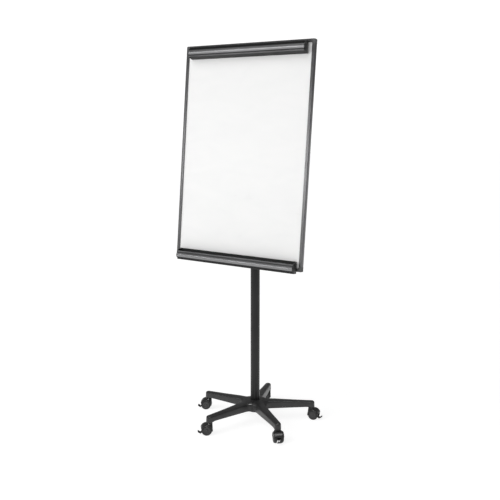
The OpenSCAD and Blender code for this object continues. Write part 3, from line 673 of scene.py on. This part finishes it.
def make_casters():
    """One hood, two treads and discs, and a lever for each caster, all drawn in its own frame."""
    for k in CASTERS:
        place = on_caster(k)
        fork, roller, brake = f"caster_{k}_fork", f"caster_{k}_roller", f"caster_{k}_brake"
        body = [hood(), stem_neck(), caster_web()] + pedal_lug()
        wheels = [f"caster_{k}_wheels"]
        piece(f"caster_{k}_hood", [moved(s, place) for s in body], BLACK_PLASTIC, fork,
              [f"caster_{k}_housing"])
        treads = [moved(wheel_tread(side), place) for side in (-1, 1)]
        discs = [moved(wheel_disc(side), place) for side in (-1, 1)]
        piece(f"caster_{k}_treads", treads, WHEEL_TREAD, roller, wheels)
        piece(f"caster_{k}_discs", discs, WHEEL_DISC, roller, wheels)
        piece(f"caster_{k}_brake_lever", [moved(s, place) for s in pedal()], BLACK_PLASTIC, brake,
              [f"caster_{k}_pedal"])


# ---- column ---------------------------------------------------------------------------------


def star_grip(height, base_z):
    """Seven-lobed grip: radius(angle, z) = profile radius minus a wave that deepens to the rim."""
    a = np.arange(140) * 2 * np.pi / 140
    profile = rounded([[0, 0], [13, 0], [13, 5], [KNOB_R, 5.6], [KNOB_R, height - 2.5],
                       [15, height + 0.8], [0, height + 0.8]], [0, 0.8, 1, 4, 4.5, 1.5, 0], 6)
    r, z = profile.T
    wave = (0.5 + 0.5 * np.cos(7 * a))[:, None] ** 1.6
    cut = 5.2 * np.clip((r - 12) / (KNOB_R - 12), 0, 1) ** 1.3
    radius = r - wave * cut
    level = z + base_z + 0 * radius
    grid = np.stack([radius * np.cos(a)[:, None], radius * np.sin(a)[:, None], level], -1)
    return skin(grid, wrap_i=True)


def make_column():
    """Both tubes, the turned collar with its threaded boss, and the height grip."""
    tubes = [("column_tube", COLUMN_R, "base", "lower_column"), ("mast_tube", MAST_R, "mast", "mast")]
    for name, radius, body, node in tubes:
        low, high = corners(node)
        shell = tube(radius - TUBE_WALL, radius, low[2], high[2])
        piece(name, [shell], COLUMN_PAINT, body, [node])
    low, high = corners("clamp_collar")
    ring = [[MAST_R + 0.6, high[2] - 5], [COLUMN_R + 0.1, high[2] - 6], [COLUMN_R + 0.1, low[2]],
            [COLLAR_R - 1, low[2]], [COLLAR_R, low[2] + 5], [COLLAR_R, high[2] - 6],
            [COLLAR_R - 4, high[2]], [MAST_R + 0.6, high[2]]]
    collar = lathe(rounded(ring, [0.3, 0.2, 0.6, 2, 3, 4, 1.2, 0.6], 5), 96, closed=True)
    boss_profile = rounded([[4.3, COLUMN_R + 2], [16, COLUMN_R + 2], [13, COLLAR_R + 3],
                            [13, high[1]], [4.3, high[1]]], [0.2, 0.3, 5, 1.2, 0.4], 5)
    boss = moved(lathe(boss_profile, 64, closed=True), lambda p: z_to_y(p) + [0, 0, KNOB_Z])
    piece("collar_shell", [collar, boss], BLACK_PLASTIC, "base", ["clamp_collar"])
    face = high[1] + 0.3
    screw = moved(rod(4, MAST_R + 0.2, face + 6, 0.4, 32), z_to_y)
    grip = moved(star_grip(22, face), z_to_y)
    piece("height_grip", [moved(s, shifted(z=KNOB_Z)) for s in (screw, grip)], BLACK_PLASTIC,
          "height_knob", ["height_knob"])


# ---- tilt head ------------------------------------------------------------------------------

LUG_W = 28
EAR_GAP = 17
EAR_T = 4
PLATE_T = 3
FORK_T = 3
BRACKET_Y = FRAME_D - RAIL_WALL - 0.1 + PLATE_T


def at_pivot(p):
    """A shell turned about z is laid across the board, on the tilt axis."""
    return z_to_x(p) + [0, PIVOT[1], PIVOT[2]]


def make_tilt_head():
    """Head on the mast, friction washers, bolt and grip, all about the tilt axis."""
    mast_top = corners("mast")[1][2]
    plug = rod(MAST_R - 2.1, mast_top - 38, mast_top + 2, 0.8, 64)
    cup_half = [[0, mast_top], [MAST_R + 3, mast_top], [MAST_R + 3, mast_top + 12], [0, mast_top + 12]]
    cup = lathe(rounded(cup_half, [0, 1.2, 4, 0], 5), 96)
    front = [[MAST_R + 2, mast_top + 1], [MAST_R + 2, mast_top + 10], [MAST_R - 3, mast_top + 17]]
    neck = np.vstack([front, arc(PIVOT[1:], 16, 75, 235, 24), [[-MAST_R - 2, mast_top + 1]]])
    arm = moved(prism(neck, -LUG_W / 2, LUG_W / 2, 2.0, 4), z_to_x)
    bore = moved(tube(5.05, 15.9, -LUG_W / 2 - 0.2, LUG_W / 2 + 0.2, 0.6, 64), at_pivot)
    head = [plug, cup, arm, bore]
    piece("tilt_head_body", head, BASE_NYLON, "mast", ["tilt_head"])
    gap = EAR_GAP - LUG_W / 2
    washers = [moved(tube(5.1, 14, low, low + gap - 0.8, 0.4, 64), at_pivot)
               for low in (LUG_W / 2 + 0.5, -LUG_W / 2 - gap + 0.3)]
    piece("friction_washers", washers, CAP_PLASTIC, "board", ["tilt_washers"])
    hexagon = rounded(arc((0, 0), BOLT_HEAD_R, 0, 300, 5), 0.5, 2)
    outer = EAR_GAP + EAR_T
    bolt = [moved(prism(hexagon, -outer - 6, -outer, 0.9), at_pivot),
            moved(rod(BOLT_R, -outer - 0.1, outer + 14, 0.8, 40), at_pivot)]
    piece("tilt_bolt_body", bolt, ZINC, "board", ["tilt_bolt"])
    piece("tilt_grip", [moved(star_grip(22, outer + 0.3), at_pivot)], BLACK_PLASTIC, "tilt_knob",
          ["tilt_knob"])


def upright_plate(half_w, half_h, radius, steps, low, high, edge):
    """Rounded rectangle round the tilt axis, from low to high behind the frame's front plane."""
    bottom, top = PIVOT_UP - half_h, PIVOT_UP + half_h
    outline = [[-half_w, bottom], [half_w, bottom], [half_w, top], [-half_w, top]]
    return moved(prism(rounded(outline, radius, steps), low, high, edge), z_to_y)


def make_bracket():
    """Fork with two ears round the tilt axis, the plate behind the board, and four screws."""
    base_half = EAR_GAP + EAR_T + 16
    top = BRACKET_Y + FORK_T
    shells = [upright_plate(base_half, 60, 6, 6, BRACKET_Y, top, 0.5)]
    ear = np.vstack([[[BRACKET_Y + 2.5, PIVOT_UP + 42]], [[BRACKET_Y + 2.5, PIVOT_UP - 42]],
                     arc((PIVOT_BACK, PIVOT_UP), 15, -60, 60, 20)])
    for low in (-EAR_GAP - EAR_T, EAR_GAP):
        shells.append(moved(prism(ear, low, low + EAR_T, 0.6), z_to_x))
    piece("tilt_fork", [moved(s, on_board) for s in shells], BRACKET_PAINT, "board",
          ["tilt_bracket"])
    plate = upright_plate(75, 150, 9, 8, BRACKET_Y - PLATE_T, BRACKET_Y, 0.6)
    piece("mounting_plate", [moved(plate, on_board)], BRACKET_PAINT, "board", ["back_plate"])
    head = rounded([[0, top - 2], [2.5, top - 2], [2.5, top], [5, top], [4.4, top + 2.4],
                    [2.3, top + 2.4], [2.1, top + 0.9], [0, top + 0.9]],
                   [0, 0, 0, 0.3, 1.6, 0.3, 0.3, 0], 3)
    screws = []
    for x in (-30, 30):
        for z in (-45, 45):
            screw = moved(moved(lathe(head, 40), z_to_y), shifted(x=x, z=PIVOT_UP + z))
            screws.append(moved(screw, on_board))
    piece("fork_screws", screws, ZINC, "board", ["bracket_screws"])


# ---- board ----------------------------------------------------------------------------------


def rail_outline():
    """Rail section: x from the outer face inwards, y behind the front plane, with the panel's slot."""
    slot_end = FRAME_D - RAIL_WALL
    return rounded([[0, 0], [RAIL_W, 0], [RAIL_W, PANEL_BACK], [RAIL_SIDE, PANEL_BACK],
                    [RAIL_SIDE, slot_end], [RAIL_W, slot_end], [RAIL_W, FRAME_D], [0, FRAME_D]],
                   [1.6, 1.2, 0.3, 0.3, 0.3, 0.3, 0.6, 1.6], 5)


def make_rails():
    """The rail's section carried straight between the corner pieces."""
    section = rail_outline()
    half = BOARD_W / 2
    for side, name in ((-1, "left"), (1, "right")):
        rail = prism(section, CORNER_LEN, BOARD_H - CORNER_LEN, 0)
        shape = moved(rail, lambda p, side=side: p * [-side, 1, 1] + [side * half, 0, 0])
        piece(f"upright_{name}", [moved(shape, on_board)], RAIL_UPRIGHT, "board",
              [f"rail_{name}"])
    for top, name in ((0, "bottom"), (1, "top")):
        rail = prism(section, CORNER_LEN - half, half - CORNER_LEN, 0)
        shape = moved(rail, lambda p, top=top: np.stack(
            [p[..., 2], p[..., 1], (BOARD_H - p[..., 0]) if top else p[..., 0]], -1))
        piece(f"level_{name}", [moved(shape, on_board)], RAIL_LEVEL, "board",
              [f"rail_{name}"])


def make_corners():
    """Each corner piece is an L in front, a thin L between, and an L at the back."""
    def ell(width, radii):
        corner = [[0, 0], [CORNER_LEN, 0], [CORNER_LEN, width], [width, width],
                  [width, CORNER_LEN], [0, CORNER_LEN]]
        return rounded(corner, radii, 8)

    wide = ell(RAIL_W, [5, 0.5, 0.5, 1.0, 0.5, 0.5])
    slim = ell(RAIL_SIDE, [5, 0.2, 0.2, 2.4, 0.2, 0.2])
    front = moved(prism(wide, 0, PANEL_BACK, 1.0, 4), z_to_y)
    wall = moved(prism(slim, PANEL_BACK - 1, FRAME_D - 1, 0), z_to_y)
    back = moved(prism(wide, FRAME_D - RAIL_WALL, FRAME_D, 0.5, 3), z_to_y)
    shells = []
    for sx in (-1, 1):
        for top in (0, 1):
            def place(p, sx=sx, top=top):
                return np.stack([sx * (BOARD_W / 2 - p[..., 0]), p[..., 1],
                                 (BOARD_H - p[..., 2]) if top else p[..., 2]], -1)
            shells += [moved(moved(s, place), on_board) for s in (front, wall, back)]
    piece("corner_shoes", shells, CORNER_PLASTIC, "board", ["frame_corners"])


# ---- clamp and tray -------------------------------------------------------------------------

BAND_N = 33
BAND_BULGE = 5
BAND_H = 24
BAND_EDGE = BAND_N - BAND_BULGE
BAND_CR = ((BAND_H / 2) ** 2 + BAND_BULGE ** 2) / (2 * BAND_BULGE)
BAND_A = math.degrees(math.asin(BAND_H / 2 / BAND_CR))
STRIP_H = 9
GROOVE_H = 1.6
THIN_H = 7
PROFILE_H = STRIP_H + BAND_H + GROOVE_H + THIN_H
BAR_WALL = 2.2
CAP_T = 4
TRAY_DROP = 9
TRAY_BACK = 53
DOME_R = 11
DOME_OUT = 18             # the domes' centres in front of the frame
CLAMP_TOP = BOARD_H - 11.5
CLAMP_H = 51.5
STRIP, BAND, GROOVE, THIN = 0, 1, 0, 2     # each zone's place in the bar's list of finishes
PIN_R = 2
KNUCKLE_R = 4.5
KNUCKLE_LEN = 40
KNUCKLES_AT = (-250, 0, 250)
HINGE_N = 6.8             # hinge axis in front of the frame
HINGE_U = CLAMP_TOP - 3


def bar_face(depth):
    """Front of the shared profile, x out of the frame and y along it: lower strip, wide convex
    band, groove and thin band, each moved in by depth. Also each point's zone: the strip's black
    runs over the first five steps of the wide band, and the last step is the groove's edge."""
    strip = arc((BAND_EDGE - 7, 3), 3 - min(depth, 2.4), -90, -20, 6)
    shoulder = np.array([[BAND_EDGE - 3 - depth, STRIP_H - 0.5]])
    band = arc((BAND_N - BAND_CR, STRIP_H + BAND_H / 2), BAND_CR - depth, -BAND_A, BAND_A, 28)
    groove = np.array([[BAND_EDGE - 2 - depth, STRIP_H + BAND_H + GROOVE_H / 2],
                       [BAND_EDGE + 1 - depth, STRIP_H + BAND_H + GROOVE_H]])
    thin = arc((BAND_EDGE - 11, PROFILE_H - THIN_H / 2), 13 - depth, -14, 14, 8)
    zone = [STRIP] * 13 + [BAND] * 23 + [GROOVE] * 3 + [THIN] * 9
    return np.vstack([strip, shoulder, band, groove, thin]), zone


def sweep_bar(outline, zone, half):
    """Profile carried along the board between two ends."""
    n, u = outline.T
    rows = np.array([np.c_[np.full(len(outline), x), -n, u] for x in (-half, half)])
    points, quads, caps = skin(rows, wrap_j=True, caps=True)
    return points, quads, caps, np.array(zone)


def make_tray():
    """The shared face, folded back inside itself into a channel with a tall back, and its ends."""
    half = corners("pen_tray")[1][0]
    face, zone = bar_face(0)
    inner = bar_face(BAR_WALL)[0][8:]
    back_edge = [[0.1, TRAY_BACK], [0.1, 0]]
    tail = np.array([[BAND_EDGE - 7, BAR_WALL], [BAR_WALL + 0.5, BAR_WALL], [BAR_WALL, BAR_WALL + 1],
                     [BAR_WALL, TRAY_BACK - 0.6], [BAR_WALL - 0.6, TRAY_BACK]] + back_edge)
    lip = np.array([[BAND_EDGE + 1.4, PROFILE_H + 0.5], [BAND_EDGE - 0.4, PROFILE_H + 0.5]])
    outline = np.vstack([face, lip, inner[::-1], tail])
    zones = zone + [THIN] * 2 + [STRIP] * (len(outline) - len(zone) - 2)
    shell = sweep_bar(outline - [0, TRAY_DROP], zones, half)
    piece("tray_profile", [moved(shell, on_board)], [BAR_STRIP, BAR_BAND_TONE_AND_PAINTED_HIGHLIGHT, BAR_THIN], "board",
          ["pen_tray"], 28)
    cap = np.vstack([face, [[BAND_EDGE - 6, PROFILE_H + 5], [BAR_WALL, TRAY_BACK]], back_edge])
    shells = end_caps(cap - [0, TRAY_DROP], half + 0.1, STRIP_H + BAND_H / 2 - TRAY_DROP, 3.7)
    piece("tray_ends", [moved(s, on_board) for s in shells], CAP_PLASTIC, "board",
          ["tray_caps"])


def end_caps(outline, half, dome_up, dome):
    """A rounded plate on each end of a bar, with a low dome in the middle of the wide band."""
    plate = moved(prism(outline, 0, CAP_T, 1.3, 4), lambda p: z_to_x(p) * [1, -1, 1])
    a = np.radians(np.linspace(0, 90, 9))
    foot = [[0, -1.0], [DOME_R, -1.0]]
    button = lathe(np.r_[foot, np.c_[DOME_R * np.cos(a), dome * np.sin(a)]], 48)
    button = moved(moved(button, z_to_x), shifted(CAP_T - 0.3, -DOME_OUT, dome_up))
    return [moved(s, lambda p, side=side: p * [side, 1, 1] + [side * half, 0, 0])
            for s in (plate, button) for side in (-1, 1)]


def from_clamp_top(points):
    """The bars share a face: on the clamp it hangs down from the clamp's top."""
    return points * [1, -1] + [0, CLAMP_TOP]


def make_clamp():
    """The shared face upside down with a roof and a jaw, hinge barrels behind it, and its ends."""
    half = corners("clamp_bar")[1][0]
    jaw_n, jaw_u = 0.5 - PANEL_BACK, CLAMP_TOP - CLAMP_H
    face, zone = bar_face(0)
    jaw = [[BAND_EDGE - 1, CLAMP_TOP - PROFILE_H - 1], [jaw_n + 3, jaw_u], [jaw_n, jaw_u + 0.6],
           [jaw_n, jaw_u + 4], [jaw_n + 3, jaw_u + 4.5],
           [BAND_EDGE - 1 - BAR_WALL, CLAMP_TOP - PROFILE_H + 0.6]]
    roof_end, roof_under = HINGE_N + KNUCKLE_R + 1.4, CLAMP_TOP - BAR_WALL
    roof = [[BAND_EDGE - 7, roof_under], [roof_end, roof_under], [roof_end, CLAMP_TOP]]
    inner = from_clamp_top(bar_face(BAR_WALL)[0][8:])
    outline = np.vstack([from_clamp_top(face), jaw, inner[::-1], roof])
    shells = [sweep_bar(outline, zone + [STRIP] * (len(outline) - len(zone)), half)]
    gap = KNUCKLE_LEN / 2 + 0.3
    ends = [-half] + [x + s * gap for x in KNUCKLES_AT for s in (-1, 1)] + [half]
    leaf = rounded([[2.8, 0], [7, 0.8], [7, 3], [2, 3], [1.2, 4.2], [2.4, 2.6]],
                   [0.2, 0.2, 0.2, 0.6, 0.2, 0.2], 3)
    for low, high in zip(ends[::2], ends[1::2]):
        barrel = moved(tube(PIN_R + 0.05, KNUCKLE_R, low, high, 0.4, 40), z_to_x)
        web = moved(prism(leaf, low, high, 0.2, 2), z_to_x)
        shells += [moved(s, lambda p: p * [1, -1, 1] + [0, -HINGE_N, HINGE_U]) for s in (barrel, web)]
    piece("clamp_profile", [moved(s, on_board) for s in shells], [BAR_STRIP, BAR_BAND_TONE_AND_PAINTED_HIGHLIGHT, BAR_THIN],
          "clamp", ["clamp_bar"], 28)
    back = [[0.6, jaw_u + 2.6], [0.6, HINGE_U]]
    cap = np.vstack([[[HINGE_N, CLAMP_TOP]], from_clamp_top(face), jaw[:2], back,
                     arc((HINGE_N, HINGE_U), HINGE_N - 0.6, 180, 120, 8)])
    caps = end_caps(cap, half + 0.1, CLAMP_TOP - STRIP_H - BAND_H / 2, 2.7)
    piece("clamp_ends", [moved(s, on_board) for s in caps], CAP_PLASTIC, "clamp",
          ["clamp_caps"])


make_base()
make_fixings()
make_casters()
make_column()
make_tilt_head()
make_bracket()
make_rails()
make_corners()
make_tray()
make_clamp()

CAD_FINISHES = {
    "writing_panel": WHITE_LACQUER, "back_sheet": BACK_LACQUER, "board_core": FIBRE_BOARD,
    "clamp_rail": BRACKET_PAINT, "clamp_hinge_pin": ZINC, "pad_peg_left": ZINC, "pad_peg_right": ZINC,
    "board_screws": ZINC, "guide_bush": BLACK_PLASTIC,
    "mast_glide": BLACK_PLASTIC, "column_foot_plug": BLACK_PLASTIC,
}
for k in CASTERS:
    CAD_FINISHES[f"caster_{k}_stem"] = ZINC
    CAD_FINISHES[f"caster_{k}_axle"] = ZINC
for node, finish in CAD_FINISHES.items():
    for slot in frame["nodes"][node].material_slots:
        slot.material = finish

# ---- camera, floor and light ----------------------------------------------------------------

VIEW_TURN = math.radians(34.61)      # the camera's heading, left of +Y
VIEW_DOWN = math.radians(8.626)      # how far it looks below the horizon
VIEW_PLACE = (2.0236, -2.9759, 1.4612)
VIEW_LENS = 55.442
VIEW_SHIFT = -0.03
WALL_LIGHT = 0.22         # what the walls give to the object
WALL_WHITE = 1.1          # how bright they look
FLOOR_GLOW = 0.85
FLOOR_REACH = 40


def make_camera():
    cam = bpy.data.objects.new("camera", bpy.data.cameras.new("camera"))
    bpy.context.collection.objects.link(cam)
    cam.location = VIEW_PLACE
    cam.rotation_euler = (math.pi / 2 - VIEW_DOWN, 0, VIEW_TURN)
    cam.data.sensor_width = 36
    cam.data.lens = VIEW_LENS
    cam.data.shift_y = VIEW_SHIFT
    bpy.context.scene.camera = cam


def add_light(name, kind, place, aim, energy):
    """A lamp at place whose beam points at aim."""
    lamp = bpy.data.lights.new(name, kind)
    lamp.energy = energy
    obj = bpy.data.objects.new(name, lamp)
    bpy.context.collection.objects.link(obj)
    obj.location = place
    dx, dy, dz = np.array(aim, float) - np.array(place, float)
    tilt = math.acos(-dz / math.sqrt(dx * dx + dy * dy + dz * dz))
    obj.rotation_euler = (tilt, 0, math.atan2(dy, dx) - math.pi / 2)
    return obj


def area_light(name, place, aim, size, power):
    obj = add_light(name, "AREA", place, aim, power)
    obj.data.shape = "RECTANGLE"
    obj.data.size, obj.data.size_y = size
    return obj


def make_floor():
    r = FLOOR_REACH
    mesh = bpy.data.meshes.new("floor")
    mesh.from_pydata([(-r, -r, 0), (r, -r, 0), (r, r, 0), (-r, r, 0)], [], [(0, 1, 2, 3)])
    floor = bpy.data.objects.new("floor", mesh)
    bpy.context.collection.objects.link(floor)
    f = Finish("studio_floor", Roughness=0.9, Specular_IOR_Level=0.1)
    f.colours(f.noise(1.5, 3), (0.34, 0.34, 0.34), (0.37, 0.37, 0.37))
    f.shader.inputs["Emission Color"].default_value = (1, 1, 1, 1)
    f.shader.inputs["Emission Strength"].default_value = FLOOR_GLOW
    mesh.materials.append(f.material)


def make_world():
    """White studio: the walls look white, and light the object dimly, as they are far away."""
    world = bpy.data.worlds.new("studio")
    world.use_nodes = True
    nodes, links = world.node_tree.nodes, world.node_tree.links
    walls = nodes["Background"]
    walls.inputs["Color"].default_value = (1, 1, 1, 1)
    path = nodes.new("ShaderNodeLightPath")
    level = nodes.new("ShaderNodeMapRange")
    level.inputs["To Min"].default_value = WALL_LIGHT
    level.inputs["To Max"].default_value = WALL_WHITE
    links.new(path.outputs["Is Camera Ray"], level.inputs["Value"])
    links.new(level.outputs["Result"], walls.inputs["Strength"])
    bpy.context.scene.world = world


def make_studio():
    make_floor()
    make_world()
    bpy.context.scene.view_settings.view_transform = "Standard"
    sky = add_light("sky_panel", "SUN", (-1.2, -3.0, 3.2), (0, 0, 0), 1.25)
    sky.data.angle = math.radians(50)
    sky.visible_glossy = False
    area_light("front_box", (-1.5, -2.9, 1.62), (0, 0, 1.3), (1.7, 0.5), 17)
    area_light("back_box", (1.9, 3.0, 1.2), (0.35, 0, 1.3), (0.9, 0.4), 2)
    rim = area_light("rim_box", (1.05, -1.34, 4.2), (0, 0, 0), (1.5, 1.0), 170)
    rim.visible_diffuse = False


make_camera()
make_studio()
